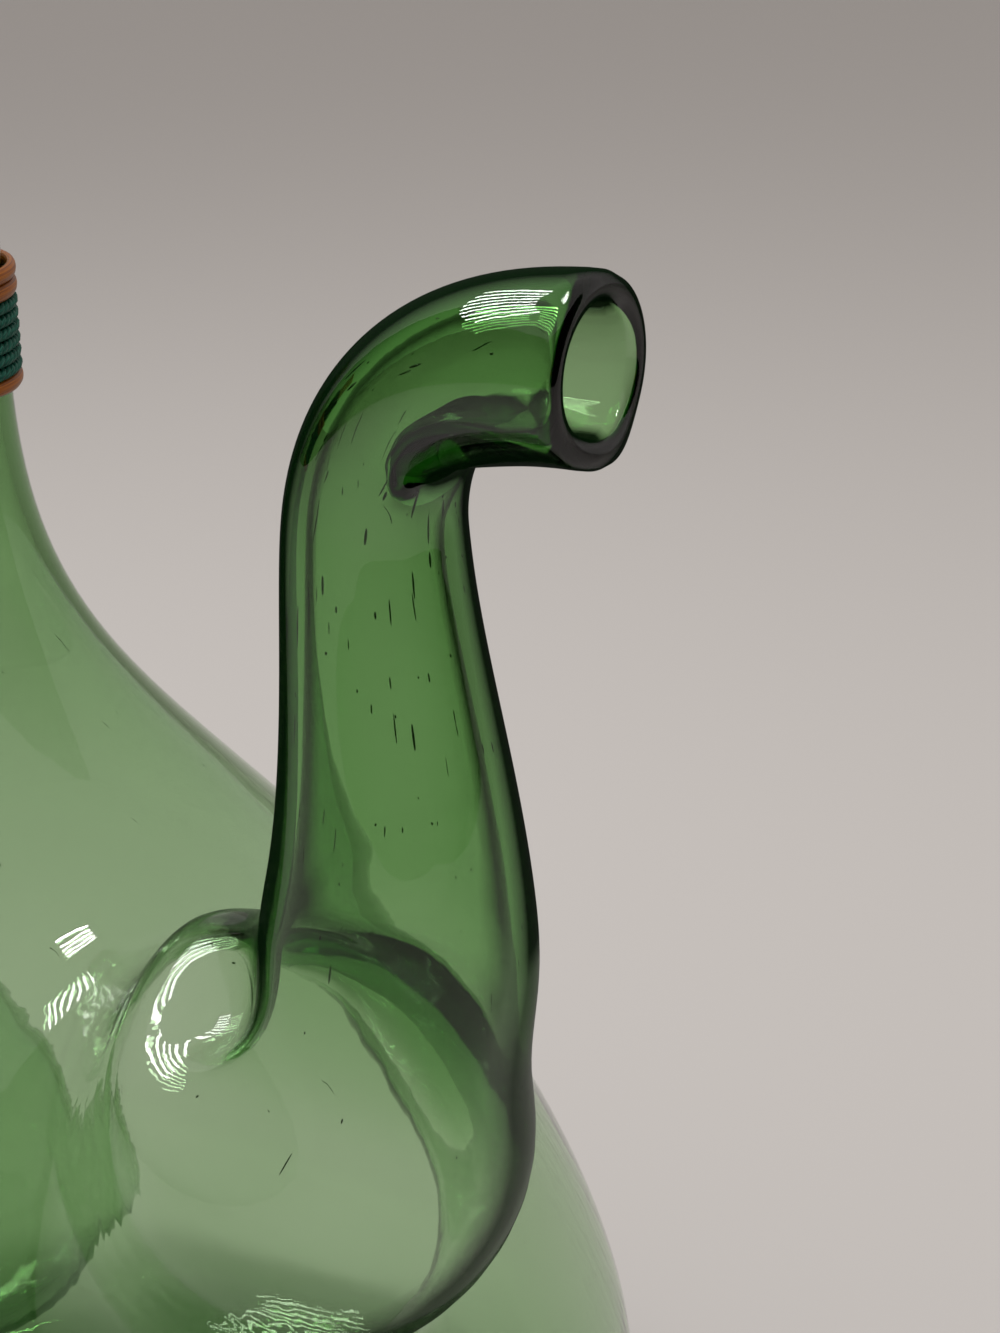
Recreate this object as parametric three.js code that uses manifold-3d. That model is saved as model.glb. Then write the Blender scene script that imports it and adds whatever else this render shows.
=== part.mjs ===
// Hand-blown green glass decanter with a side pouring spout, an ice pocket and a bound cane carrying ring.
// Millimetres, +Z up, +X towards the spout. The origin is the centre of the flat base.
import * as THREE from 'three';
import { mergeVertices } from 'three/addons/utils/BufferGeometryUtils.js';
import Module from 'manifold-3d';

// Body of revolution
const baseRadius = 62;
const baseEase = 34;
const bellyRadius = 120;
const bellyHeight = 60;
const bellyEaseDown = 36;
const bellyEaseUp = 26;
const shoulderRadius = 78;
const shoulderHeight = 152;
const shoulderSlope = 50;
const shoulderEaseDown = 26;
const shoulderEaseUp = 69;
const neckRadius = 12.6;
const neckEase = 48;
const neckTop = 290;
const neckLength = 28;
const neckFoot = neckTop - neckLength;
const baseWall = 5;
const basePunt = 4;
const bellyWall = 1.8;
const neckWall = 3.2;
const lipEdge = 1.5;
const bodySides = 48;

// Pouring spout
const spoutHeight = 147;
const spoutSideways = -19.5;
const spoutTurn = 9.4;
const rootStand = 27;
const rootDepth = 12;
const rootLean = 28.5;
const rootRise = 29.4;
const tubeOffset = 14.7;
const tubeRise = 97.6;
const tubeEase = 27.6;
const bendRise = 27.6;
const bendEaseUp = 12.9;
const bendEaseOut = 24.8;
const mouthReach = 35;
const mouthTwist = 0.7;
const rootInnerRadius = 22;
const rootFootRadius = 29.5;
const rootRadius = 34.2;
const domeRadius = 31.6;
const creaseRadius = 23.6;
const lowerTubeRadius = 20.5;
const middleTubeRadius = 17.5;
const upperTubeRadius = 14;
const throatRadius = 11.6;
const mouthRadius = 12.1;
const spoutWall = 2.2;
const mouthWall = 3.4;
const spoutSides = 28;

// Ice pocket
const pocketHeight = 137;
const pocketTilt = 28;
const pocketDepth = 112;
const pocketMouthRadius = 25;
const pocketBulge = 4;
const pocketEnd = 20;
const pocketEaseIn = 30;
const pocketEaseOut = 60;
const pocketWall = 1.8;
const pocketRim = 4;
const pocketSides = 36;

// Neck binding and carrying ring
const bindingDrop = 30.4;
const bindingFoot = neckTop - bindingDrop;
const lowerCaneTurns = 1;
const lowerCanePitch = 2.4;
const lowerCaneSize = 1.9;
const cordTurns = 6;
const cordPitch = 2.1;
const cordSize = 1.65;
const upperCaneTurns = 2;
const upperCanePitch = 2.7;
const upperCaneSize = 2;
const stepsPerTurn = 24;
const caneSteps = 6;
const bindingSides = 6;
const endGap = 0.4;
const ringCane = 6;
const ringReach = 50;
const ringOverlap = 3;
const ringEaseNear = 26;
const ringEaseFar = 26;

// Stopper
const corkSeat = 22;
const corkStand = 11;
const corkTaper = 0.045;
const corkEdge = 1;

// Clearances
const fitGap = 0.3;
const cutOverrun = 1;

const wasm = await Module();
wasm.setup();

const glass = (colour) => new THREE.MeshStandardMaterial({ color: colour, roughness: 0.06, metalness: 0 });
const materials = {
  body: glass('#5f8a4d'),
  spout: glass('#4c7c3f'),
  pocket: glass('#6b9a58'),
  cane: new THREE.MeshStandardMaterial({ color: '#8a4a14', roughness: 0.5, metalness: 0 }),
  cord: new THREE.MeshStandardMaterial({ color: '#0f4a38', roughness: 0.45, metalness: 0 }),
  cork: new THREE.MeshStandardMaterial({ color: '#b98d5c', roughness: 0.9, metalness: 0 }),
};

// A geometry as a solid: shared corners merged, faces turned outwards.
function toSolid(geometry) {
  geometry.deleteAttribute('normal');
  geometry.deleteAttribute('uv');
  const merged = mergeVertices(geometry, 1e-4);
  const position = merged.getAttribute('position');
  const index = merged.getIndex().array;
  const triangles = [];
  let volume = 0;
  const [a, b, c] = [new THREE.Vector3(), new THREE.Vector3(), new THREE.Vector3()];
  for (let i = 0; i < index.length; i += 3) {
    const [p, q, r] = [index[i], index[i + 1], index[i + 2]];
    if (p === q || q === r || r === p) continue;
    triangles.push(p, q, r);
    a.fromBufferAttribute(position, p);
    b.fromBufferAttribute(position, q);
    c.fromBufferAttribute(position, r);
    volume += a.dot(b.cross(c));
  }
  if (volume < 0) triangles.reverse();
  return new wasm.Manifold(new wasm.Mesh({
    numProp: 3,
    vertProperties: new Float32Array(position.array),
    triVerts: new Uint32Array(triangles),
  }));
}

function toGeometry(solid) {
  const mesh = solid.getMesh();
  const geometry = new THREE.BufferGeometry();
  geometry.setAttribute('position', new THREE.BufferAttribute(new Float32Array(mesh.vertProperties), 3));
  geometry.setIndex(new THREE.BufferAttribute(new Uint32Array(mesh.triVerts), 1));
  geometry.computeVertexNormals();
  return geometry;
}

// Turns a profile of (radius, height) points about the Z axis.
function turned(profile, sides) {
  const geometry = new THREE.LatheGeometry(profile, sides);
  geometry.rotateX(Math.PI / 2);
  return toSolid(geometry);
}

// Carries an oval ring along points, kept square to the path, with `up` as the ring's height direction.
function swept({ points, sizeAt, sides, up, closed = false }) {
  const corners = [];
  const faces = [];
  const count = points.length;
  for (let i = 0; i < count; i += 1) {
    const before = points[closed ? (i + count - 1) % count : Math.max(i - 1, 0)];
    const after = points[closed ? (i + 1) % count : Math.min(i + 1, count - 1)];
    const along = after.clone().sub(before).normalize();
    const rise = up.clone().addScaledVector(along, -up.dot(along)).normalize();
    const across = along.clone().cross(rise);
    const [halfAcross, halfRise] = sizeAt(i / (count - 1));
    for (let j = 0; j < sides; j += 1) {
      const turn = (2 * Math.PI * j) / sides;
      const corner = points[i].clone();
      corner.addScaledVector(across, halfAcross * Math.cos(turn));
      corner.addScaledVector(rise, halfRise * Math.sin(turn));
      corners.push(...corner.toArray());
    }
  }
  const lastRing = closed ? count : count - 1;
  for (let i = 0; i < lastRing; i += 1) {
    const next = ((i + 1) % count) * sides;
    for (let j = 0; j < sides; j += 1) {
      const k = (j + 1) % sides;
      faces.push(i * sides + j, next + j, next + k, i * sides + j, next + k, i * sides + k);
    }
  }
  if (!closed) {
    const end = (count - 1) * sides;
    for (let j = 1; j < sides - 1; j += 1) {
      faces.push(0, j, j + 1, end, end + j + 1, end + j);
    }
  }
  const geometry = new THREE.BufferGeometry();
  geometry.setAttribute('position', new THREE.BufferAttribute(new Float32Array(corners), 3));
  geometry.setIndex(faces);
  return toSolid(geometry);
}

function named(name, solid, material) {
  const mesh = new THREE.Mesh(toGeometry(solid), material);
  mesh.name = name;
  return mesh;
}

const flat = (x, y) => new THREE.Vector2(x, y);
const radians = THREE.MathUtils.degToRad;

// Outside of the body from the edge of the base up to the neck, as (radius, height).
function bodyOutline() {
  const slope = radians(shoulderSlope);
  const climb = flat(-Math.cos(slope), Math.sin(slope));
  const shoulder = flat(shoulderRadius, shoulderHeight);
  const belly = new THREE.CubicBezierCurve(
    flat(baseRadius, 0),
    flat(baseRadius + baseEase, 0),
    flat(bellyRadius, bellyHeight - bellyEaseDown),
    flat(bellyRadius, bellyHeight),
  );
  const lower = new THREE.CubicBezierCurve(
    flat(bellyRadius, bellyHeight),
    flat(bellyRadius, bellyHeight + bellyEaseUp),
    shoulder.clone().addScaledVector(climb, -shoulderEaseDown),
    shoulder,
  );
  const upper = new THREE.CubicBezierCurve(
    shoulder,
    shoulder.clone().addScaledVector(climb, shoulderEaseUp),
    flat(neckRadius, neckFoot - neckEase),
    flat(neckRadius, neckFoot),
  );
  return [...belly.getPoints(8), ...lower.getPoints(7).slice(1), ...upper.getPoints(11).slice(1)];
}

const outline = bodyOutline();

// Radius of the body's outside at a height.
function bodyRadiusAt(height) {
  for (let i = 1; i < outline.length; i += 1) {
    const [low, high] = [outline[i - 1], outline[i]];
    if (height <= high.y) {
      return THREE.MathUtils.mapLinear(height, low.y, high.y, low.x, high.x);
    }
  }
  return neckRadius;
}

function bodyWallAt(height) {
  if (height < bellyHeight) {
    return THREE.MathUtils.lerp(baseWall, bellyWall, Math.sqrt(height / bellyHeight));
  }
  const share = Math.min((height - bellyHeight) / (neckFoot - bellyHeight), 1);
  return THREE.MathUtils.lerp(bellyWall, neckWall, share ** 3);
}

// Moves an outline along its inward normal by a distance that depends on height.
function offsetOutline(points, distanceAt) {
  return points.map((point, i) => {
    const before = points[Math.max(i - 1, 0)];
    const after = points[Math.min(i + 1, points.length - 1)];
    const along = after.clone().sub(before).normalize();
    return point.clone().addScaledVector(flat(-along.y, along.x), distanceAt(point.y));
  });
}

function bodySkin(growth) {
  const skin = offsetOutline(outline, () => -growth);
  return turned([
    flat(0, -growth),
    ...skin,
    flat(neckRadius + growth, neckTop),
    flat(0, neckTop),
  ], bodySides);
}

function bodyShell() {
  const inside = offsetOutline(outline, bodyWallAt).slice(1).reverse();
  return turned([
    flat(0, 0),
    ...outline,
    flat(neckRadius, neckTop - lipEdge),
    flat(neckRadius - lipEdge * 0.3, neckTop - lipEdge * 0.3),
    flat(neckRadius - lipEdge, neckTop),
    flat(neckRadius - neckWall + lipEdge * 0.6, neckTop),
    flat(neckRadius - neckWall, neckTop - lipEdge * 0.6),
    ...inside,
    flat(baseRadius * 0.7, baseWall),
    flat(baseRadius * 0.35, baseWall + basePunt * 0.7),
    flat(0, baseWall + basePunt),
  ], bodySides);
}

// Centreline of the spout: out of the shoulder through a round dome, up, and over to the mouth. It is
// drawn in a plane beside the axis of the body, and the whole spout is then turned about that axis.
const rootFoot = new THREE.Vector3(
  Math.sqrt(bodyRadiusAt(spoutHeight) ** 2 - spoutSideways ** 2),
  spoutSideways,
  spoutHeight,
);
const lean = new THREE.Vector3(rootLean, 0, rootRise);
const spoutRoot = rootFoot.clone().add(lean.clone().setLength(rootStand));
const tubeX = spoutRoot.x + tubeOffset;
const bendFoot = spoutRoot.z + tubeRise;
const mouthHeight = bendFoot + bendRise;
const mouthCentre = new THREE.Vector3(tubeX + mouthReach, spoutSideways, mouthHeight);
const stubSteps = 3;
const risingSteps = 16;
const bendingSteps = 11;

function spoutCentreline() {
  const rising = new THREE.CubicBezierCurve3(
    spoutRoot,
    spoutRoot.clone().add(lean),
    new THREE.Vector3(tubeX, spoutSideways, bendFoot - tubeEase),
    new THREE.Vector3(tubeX, spoutSideways, bendFoot),
  );
  const bending = new THREE.CubicBezierCurve3(
    new THREE.Vector3(tubeX, spoutSideways, bendFoot),
    new THREE.Vector3(tubeX, spoutSideways, bendFoot + bendEaseUp),
    new THREE.Vector3(mouthCentre.x - bendEaseOut, spoutSideways - mouthTwist, mouthHeight),
    mouthCentre,
  );
  const inside = spoutRoot.clone().sub(lean.clone().setLength(rootStand + rootDepth));
  const stub = new THREE.LineCurve3(inside, spoutRoot);
  return [
    ...stub.getPoints(stubSteps),
    ...rising.getPoints(risingSteps).slice(1),
    ...bending.getPoints(bendingSteps).slice(1),
  ];
}

// Outside radius at a share of the rings: a round dome on the shoulder, which a crease turns into a
// tube that narrows up to the bend.
const spoutRadii = new THREE.CubicInterpolant(
  [0, 0.05, 0.1, 0.155, 0.205, 0.3, 0.393, 0.533, 0.767, 1],
  [
    rootInnerRadius,
    rootFootRadius,
    rootRadius,
    domeRadius,
    creaseRadius,
    lowerTubeRadius,
    middleTubeRadius,
    upperTubeRadius,
    throatRadius,
    mouthRadius,
  ],
  1,
  new Float32Array(1),
);
const spoutWallAt = (share) => THREE.MathUtils.lerp(spoutWall, mouthWall, share ** 4);

function spoutTube(points, wallAt) {
  const sizeAt = (share) => {
    const size = spoutRadii.evaluate(share)[0] - wallAt(share);
    return [size, size];
  };
  const tube = swept({ points, sizeAt, sides: spoutSides, up: new THREE.Vector3(0, 1, 0) });
  return tube.rotate([0, 0, spoutTurn]);
}

// The bore runs on past both ends, so that it cuts the wall of the body and the mouth open.
function spoutBore() {
  const points = spoutCentreline();
  const extend = (end, next) => end.add(end.clone().sub(next).setLength(cutOverrun));
  extend(points[0], points[1]);
  extend(points[points.length - 1], points[points.length - 2]);
  return spoutTube(points, spoutWallAt);
}

function pouringSpout() {
  return spoutTube(spoutCentreline(), () => 0).subtract(spoutBore()).subtract(bodySkin(fitGap));
}

// Ice pocket: a pouch about its own axis, which dips from the back of the shoulder towards the middle.
const pocketMouth = new THREE.Vector3(-bodyRadiusAt(pocketHeight), 0, pocketHeight);

function placedPocket(profile) {
  const geometry = new THREE.LatheGeometry(profile, pocketSides);
  geometry.rotateZ(-Math.PI / 2 - radians(pocketTilt));
  geometry.rotateX(Math.PI / 2);
  geometry.translate(...pocketMouth.toArray());
  return toSolid(geometry);
}

// Outline of the pouch from its mouth to the middle of its round end, as (radius, depth).
function pocketOutline(inset) {
  const mouth = pocketMouthRadius - inset;
  const bulge = mouth + pocketBulge;
  const endDepth = pocketDepth - pocketEnd;
  const pouch = new THREE.CubicBezierCurve(
    flat(mouth, 0),
    flat(mouth, pocketEaseIn),
    flat(bulge, endDepth - pocketEaseOut),
    flat(bulge, endDepth),
  );
  const end = new THREE.EllipseCurve(0, endDepth, bulge, pocketEnd - inset, 0, Math.PI / 2);
  const round = end.getPoints(7).slice(1);
  round[round.length - 1].x = 0;
  return [...pouch.getPoints(7), ...round];
}

function icePocket() {
  const outer = pocketOutline(0);
  const inner = pocketOutline(pocketWall).reverse();
  return placedPocket([
    ...outer,
    ...inner,
    flat(pocketMouthRadius - pocketWall, -pocketRim),
    flat(pocketMouthRadius - pocketWall / 2, -pocketRim - pocketWall / 2),
    flat(pocketMouthRadius, -pocketRim),
    outer[0].clone(),
  ]);
}

function pocketHole() {
  const outwards = -pocketMouthRadius;
  return placedPocket([
    flat(0, outwards),
    flat(pocketMouthRadius + fitGap, outwards),
    ...pocketOutline(-fitGap),
  ]);
}

function glassBody() {
  return bodyShell().subtract(spoutBore()).subtract(pocketHole());
}

// The binding is pulled tight round the neck and the cane behind it.
const ringCaneX = -(neckRadius + fitGap + ringCane / 2);

// One pass round both, as spots with their share of the pass. It starts halfway along the straight
// stretch between the cane and the neck, where the ends of the runs meet.
function tightLoop(halfCord) {
  const neckLoop = neckRadius + fitGap + halfCord;
  const caneLoop = ringCane / 2 + fitGap + halfCord;
  const lean = Math.acos((neckLoop - caneLoop) / -ringCaneX);
  const arc = (centreX, radius, from, to, steps) => {
    const curve = new THREE.ArcCurve(centreX, 0, radius, from, to, false);
    return curve.getPoints(steps);
  };
  const roundCane = arc(ringCaneX, caneLoop, Math.PI - lean, Math.PI + lean, caneSteps);
  const roundNeck = arc(0, neckLoop, Math.PI + lean, 3 * Math.PI - lean, stepsPerTurn - caneSteps - 3);
  const start = roundCane[0].clone().lerp(roundNeck[roundNeck.length - 1], 0.5);
  const spots = [start, ...roundCane, ...roundNeck, start.clone()];
  const runs = spots.map((spot, i) => (i > 0 ? spot.distanceTo(spots[i - 1]) : 0));
  const length = runs.reduce((sum, run) => sum + run, 0);
  let covered = 0;
  return spots.map((spot, i) => {
    covered += runs[i];
    return { spot, share: covered / length };
  });
}

function windingPoints({ turns, foot, pitch, size }) {
  const loop = tightLoop(size / 2);
  const points = [];
  for (let turn = 0; turn < turns; turn += 1) {
    for (const { spot, share } of turn > 0 ? loop.slice(1) : loop) {
      points.push(new THREE.Vector3(spot.x, spot.y, foot + pitch * (turn + share)));
    }
  }
  const pullBack = (end, inner) => end.add(inner.clone().sub(end).setLength(endGap / 2));
  pullBack(points[0], points[1]);
  pullBack(points[points.length - 1], points[points.length - 2]);
  return points;
}

// Least distance between the surfaces of two passes of a winding, measured on its points.
function leastGap(points, size) {
  let least = Infinity;
  for (let i = 0; i < points.length; i += 1) {
    for (let j = i + stepsPerTurn / 2; j < points.length; j += 1) {
      least = Math.min(least, points[i].distanceTo(points[j]) - size);
    }
  }
  return least;
}

function winding(name, run, material) {
  const points = windingPoints(run);
  console.log(`${name}: least gap between turns ${leastGap(points, run.size).toFixed(2)} mm`);
  const half = run.size / 2;
  const solid = swept({
    points,
    sizeAt: () => [half, half],
    sides: bindingSides,
    up: new THREE.Vector3(0, 0, 1),
  });
  return named(name, solid, material);
}

const lowerCane = { turns: lowerCaneTurns, foot: bindingFoot, pitch: lowerCanePitch, size: lowerCaneSize };
const cordFoot = bindingFoot + lowerCaneTurns * lowerCanePitch;
const cord = { turns: cordTurns, foot: cordFoot, pitch: cordPitch, size: cordSize };
const upperCaneFoot = cordFoot + cordTurns * cordPitch;
const upperCane = { turns: upperCaneTurns, foot: upperCaneFoot, pitch: upperCanePitch, size: upperCaneSize };
const bindingTop = upperCaneFoot + upperCaneTurns * upperCanePitch;

// Carrying ring: one bent cane, straight where it is bound to the back of the neck.
function carryingRing() {
  const low = bindingFoot - ringOverlap;
  const high = bindingTop + ringOverlap;
  const middle = (low + high) / 2;
  const farX = ringCaneX - ringReach;
  const point = (x, z) => new THREE.Vector3(x, 0, z);
  const below = new THREE.CubicBezierCurve3(
    point(ringCaneX, low),
    point(ringCaneX, low - ringEaseNear),
    point(farX, middle - ringEaseFar),
    point(farX, middle),
  );
  const above = new THREE.CubicBezierCurve3(
    point(farX, middle),
    point(farX, middle + ringEaseFar),
    point(ringCaneX, high + ringEaseNear),
    point(ringCaneX, high),
  );
  const points = [...below.getPoints(16), ...above.getPoints(16).slice(1)];
  return swept({
    points,
    sizeAt: () => [ringCane / 2, ringCane / 2],
    sides: 10,
    up: new THREE.Vector3(0, 1, 0),
    closed: true,
  });
}

function corkStopper() {
  const boreRadius = neckRadius - neckWall;
  const lipRadius = boreRadius - fitGap;
  const footRadius = lipRadius - corkSeat * corkTaper;
  const headRadius = lipRadius + corkStand * corkTaper;
  return turned([
    flat(0, neckTop - corkSeat),
    flat(footRadius - corkEdge, neckTop - corkSeat),
    flat(footRadius, neckTop - corkSeat + corkEdge),
    flat(headRadius, neckTop + corkStand - corkEdge),
    flat(headRadius - corkEdge, neckTop + corkStand),
    flat(0, neckTop + corkStand),
  ], 24);
}

const decanter = new THREE.Group();
decanter.add(
  named('glass_body', glassBody(), materials.body),
  named('pouring_spout', pouringSpout(), materials.spout),
  named('ice_pocket', icePocket(), materials.pocket),
  winding('lower_cane_winding', lowerCane, materials.cane),
  winding('green_cord_winding', cord, materials.cord),
  winding('upper_cane_winding', upperCane, materials.cane),
  named('cane_carrying_ring', carryingRing(), materials.cane),
  named('cork_stopper', corkStopper(), materials.cork),
);

export default decanter;
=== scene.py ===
import math
import random

import bmesh
import bpy
from mathutils import Matrix, Vector, noise


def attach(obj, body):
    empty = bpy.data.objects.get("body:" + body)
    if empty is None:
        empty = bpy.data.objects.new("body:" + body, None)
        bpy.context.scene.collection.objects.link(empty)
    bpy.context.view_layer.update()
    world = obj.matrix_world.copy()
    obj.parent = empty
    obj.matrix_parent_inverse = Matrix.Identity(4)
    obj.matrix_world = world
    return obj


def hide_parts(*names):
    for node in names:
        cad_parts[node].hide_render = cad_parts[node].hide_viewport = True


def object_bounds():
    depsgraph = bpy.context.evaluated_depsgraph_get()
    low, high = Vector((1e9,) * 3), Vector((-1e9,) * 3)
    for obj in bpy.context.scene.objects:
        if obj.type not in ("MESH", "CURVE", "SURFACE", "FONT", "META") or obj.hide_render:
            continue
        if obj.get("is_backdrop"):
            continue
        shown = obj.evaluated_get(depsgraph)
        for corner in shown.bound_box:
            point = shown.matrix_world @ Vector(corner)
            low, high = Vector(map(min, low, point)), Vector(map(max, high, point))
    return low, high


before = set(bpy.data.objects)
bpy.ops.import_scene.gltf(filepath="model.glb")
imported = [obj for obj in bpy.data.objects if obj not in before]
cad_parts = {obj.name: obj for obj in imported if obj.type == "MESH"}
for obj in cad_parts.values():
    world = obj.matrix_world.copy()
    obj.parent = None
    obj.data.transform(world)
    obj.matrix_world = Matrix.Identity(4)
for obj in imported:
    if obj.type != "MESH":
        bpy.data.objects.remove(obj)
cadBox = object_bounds()
scene = bpy.context.scene
mm = 0.001


def report(stage):
    print("decanter:", stage)


# Place on a Bezier curve of four points.
def along(points, share):
    a, b, c, d = (Vector(point) for point in points)
    rest = 1 - share
    return a * rest ** 3 + b * 3 * rest * rest * share + c * 3 * rest * share * share + d * share ** 3


def between(a, b, share):
    return a + (b - a) * share


# Even steps along a line of spots.
def evenly(spots, count):
    lengths = [0]
    for before, after in zip(spots, spots[1:]):
        lengths.append(lengths[-1] + (after - before).length)
    found, spot = [], 1
    for step in range(count):
        target = lengths[-1] * step / (count - 1)
        while spot < len(spots) - 1 and lengths[spot] < target:
            spot += 1
        share = (target - lengths[spot - 1]) / max(lengths[spot] - lengths[spot - 1], 1e-12)
        found.append(between(spots[spot - 1], spots[spot], share))
    return found


# Rises from 0 to 1 over a length, from a start.
def ramp(value, start, length):
    return min(max((value - start) / length, 0), 1)


def eased(share):
    return share * share * (3 - 2 * share)


# Value at which a test that holds from low upwards stops holding.
def turningPoint(low, high, holds):
    for step in range(40):
        middle = (low + high) / 2
        if holds(middle):
            low = middle
        else:
            high = middle
    return (low + high) / 2


def deselectAll():
    if bpy.context.object and bpy.context.object.mode != "OBJECT":
        bpy.ops.object.mode_set(mode="OBJECT")
    bpy.ops.object.select_all(action="DESELECT")


def pick(obj):
    deselectAll()
    obj.select_set(True)
    bpy.context.view_layer.objects.active = obj


def finishModifiers(obj):
    pick(obj)
    for modifier in list(obj.modifiers):
        bpy.ops.object.modifier_apply(modifier=modifier.name)


def soften(obj):
    soft = obj.modifiers.new("soft", "SUBSURF")
    soft.levels = soft.render_levels = 1


# Joins pieces into the first one, under a new name.
def joinAll(pieces, name):
    pick(pieces[0])
    for piece in pieces:
        piece.select_set(True)
    bpy.ops.object.join()
    pieces[0].name = pieces[0].data.name = name
    return pieces[0]


def setMaterial(obj, material):
    obj.data.materials.clear()
    obj.data.materials.append(material)


# Pulls a circle of edges through rings of places, extruding once per ring.
# Each ring is (places, wall), and the wall is kept on its vertices.
def drawOut(name, rings, closeEnd=False):
    deselectAll()
    bpy.ops.mesh.primitive_circle_add(vertices=len(rings[0][0]), radius=0.01)
    obj = bpy.context.object
    obj.name = obj.data.name = name
    bpy.ops.object.mode_set(mode="EDIT")
    bpy.ops.mesh.select_all(action="SELECT")
    mesh = bmesh.from_edit_mesh(obj.data)
    side = mesh.verts.layers.int.new("side")
    mesh.verts.layers.float.new("wall")
    mesh.verts.ensure_lookup_table()
    for number, vertex in enumerate(mesh.verts):
        vertex[side] = number
    for step, (places, wall) in enumerate(rings):
        if step:
            bpy.ops.mesh.extrude_edges_move(TRANSFORM_OT_translate={"value": (0, 0, 0)})
        mesh = bmesh.from_edit_mesh(obj.data)
        side = mesh.verts.layers.int["side"]
        wallLayer = mesh.verts.layers.float["wall"]
        for vertex in mesh.verts:
            if vertex.select:
                vertex.co = places[vertex[side]]
                vertex[wallLayer] = wall[vertex[side]] if isinstance(wall, list) else wall
        bmesh.update_edit_mesh(obj.data)
    if closeEnd:
        bpy.ops.mesh.extrude_edges_move(TRANSFORM_OT_translate={"value": (0, 0, 0)})
        bpy.ops.mesh.merge(type="CENTER")
    bpy.ops.object.mode_set(mode="OBJECT")
    return obj


bodyShape = {
    "segments": 52,
    "baseRadius": 62 * mm,
    "baseEase": 34 * mm,
    "bellyRadius": 120 * mm,
    "bellyHeight": 60 * mm,
    "bellyEaseDown": 36 * mm,
    "bellyEaseUp": 26 * mm,
    "shoulder": (78 * mm, 152 * mm),
    "shoulderSlope": math.radians(50),
    "shoulderEaseDown": 26 * mm,
    "shoulderEaseUp": 69 * mm,
    "neckRadius": 12.6 * mm,
    "neckEase": 48 * mm,
    "neckFoot": 262 * mm,
    "neckTop": 290 * mm,
    "ringSpacing": 12.6 * mm,
    "kick": 3 * mm,
    "kickRings": ((0.84, 0.2), (0.56, 0.8), (0.26, 1)),
    "baseWall": 3.5 * mm,
    "bellyWall": 1.25 * mm,
    "neckWall": 3.2 * mm,
    "wobble": 0.10,
    "wobbleSize": 45 * mm,
}

spoutShape = {
    "sides": 34,
    "root": (97.7 * mm, 166.3 * mm),
    "sideways": -19.5 * mm,
    "turn": math.radians(9.4),
    "depth": 38 * mm,
    "lean": (28.5 * mm, 29.4 * mm),
    "tubeOffset": 14.7 * mm,
    "tubeRise": 97.6 * mm,
    "tubeEase": 27.6 * mm,
    "bendRise": 27.6 * mm,
    "bendEaseUp": 12.9 * mm,
    "bendEaseOut": 24.8 * mm,
    "mouthReach": 36.3 * mm,
    "mouthTwist": 2.7 * mm,
    "stubSteps": 3,
    "risingSteps": 16,
    "bendingSteps": 11,
    "shares": (0, 0.05, 0.1, 0.155, 0.205, 0.3, 0.393, 0.533, 0.767, 1),
    "radii": tuple(size * mm for size in (24, 31, 35, 32, 23.6, 20.5, 17.5, 14, 11.6, 12.1)),
    "pushes": (
        ((97, -33, 196), 13, (2, 3, -8)),
        ((83, -20, 196), 20, (-3, -1, 5)),
        ((127, -19.5, 274), 11, (-1.2, 0, 2.6)),
        ((147, -19.5, 280), 12, (1.6, 0, 0)),
    ),
    "domeWall": 1.1 * mm,
    "tubeWall": 3.3 * mm,
    "mouthWall": 4.2 * mm,
    "thickens": (0.16, 0.18),
    "gathers": (
        {"share": 0.13, "length": 0.06, "turn": 74, "width": 70, "extra": 4.6 * mm},
        {"share": 0.84, "length": 0.12, "turn": 180, "width": 70, "extra": 3.8 * mm},
    ),
    "fillet": 11 * mm,
    "mound": 9 * mm,
    "patchSegments": 12,
    "patchHeights": (100 * mm, 200 * mm),
    "patchCuts": 3,
    "moundShare": 0.55,
    "moundReach": 26 * mm,
    "patchReach": 85 * mm,
    "firstFullRing": 8,
    "ringBlends": (0, 0.25, 0.5, 0.75),
}

pocketShape = {
    "sides": 20,
    "height": 137 * mm,
    "tilt": math.radians(28),
    "depth": 112 * mm,
    "mouthRadius": 25 * mm,
    "bulge": 4 * mm,
    "end": 20 * mm,
    "easeIn": 30 * mm,
    "easeOut": 60 * mm,
    "wall": 1.3 * mm,
    "rimWall": 1.1 * mm,
    "skinRings": ((34 * mm, 0), (29.2 * mm, 0.5 * mm)),
    "rimRings": tuple(
        (radius * mm, depth * mm)
        for radius, depth in ((27.4, -2.6), (26.2, -4.3), (24.6, -4.3), (23.4, -2.4), (23.2, 2))
    ),
    "pouchRings": 5,
    "pouchFrom": 0.08,
    "endTurns": (25, 47, 66, 80),
    "patchSegments": 8,
    "patchCuts": 1,
    "patchHeights": (104 * mm, 170 * mm),
    "patchReach": 85 * mm,
}

# Where the two open ends are fire-polished: outer and inner bevels, and the distance that parts them.
rimShape = {
    "mouth": {"outside": 10.4 * mm, "bevels": (2.9 * mm, 0.5 * mm)},
    "neck": {"outside": 11 * mm, "bevels": (1.2 * mm, 1 * mm)},
    "reach": 16 * mm,
    "sharp": math.radians(55),
    "segments": 3,
}

# Where the glass counts as drawn out of the body, each as a start and the length of its ramp.
drawnShape = {
    "height": (188 * mm, 18 * mm),
    "pastRoot": (14 * mm, 10 * mm),
    "mostPastRoot": 0.8,
    "offSkin": (3 * mm, 8 * mm),
}


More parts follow.
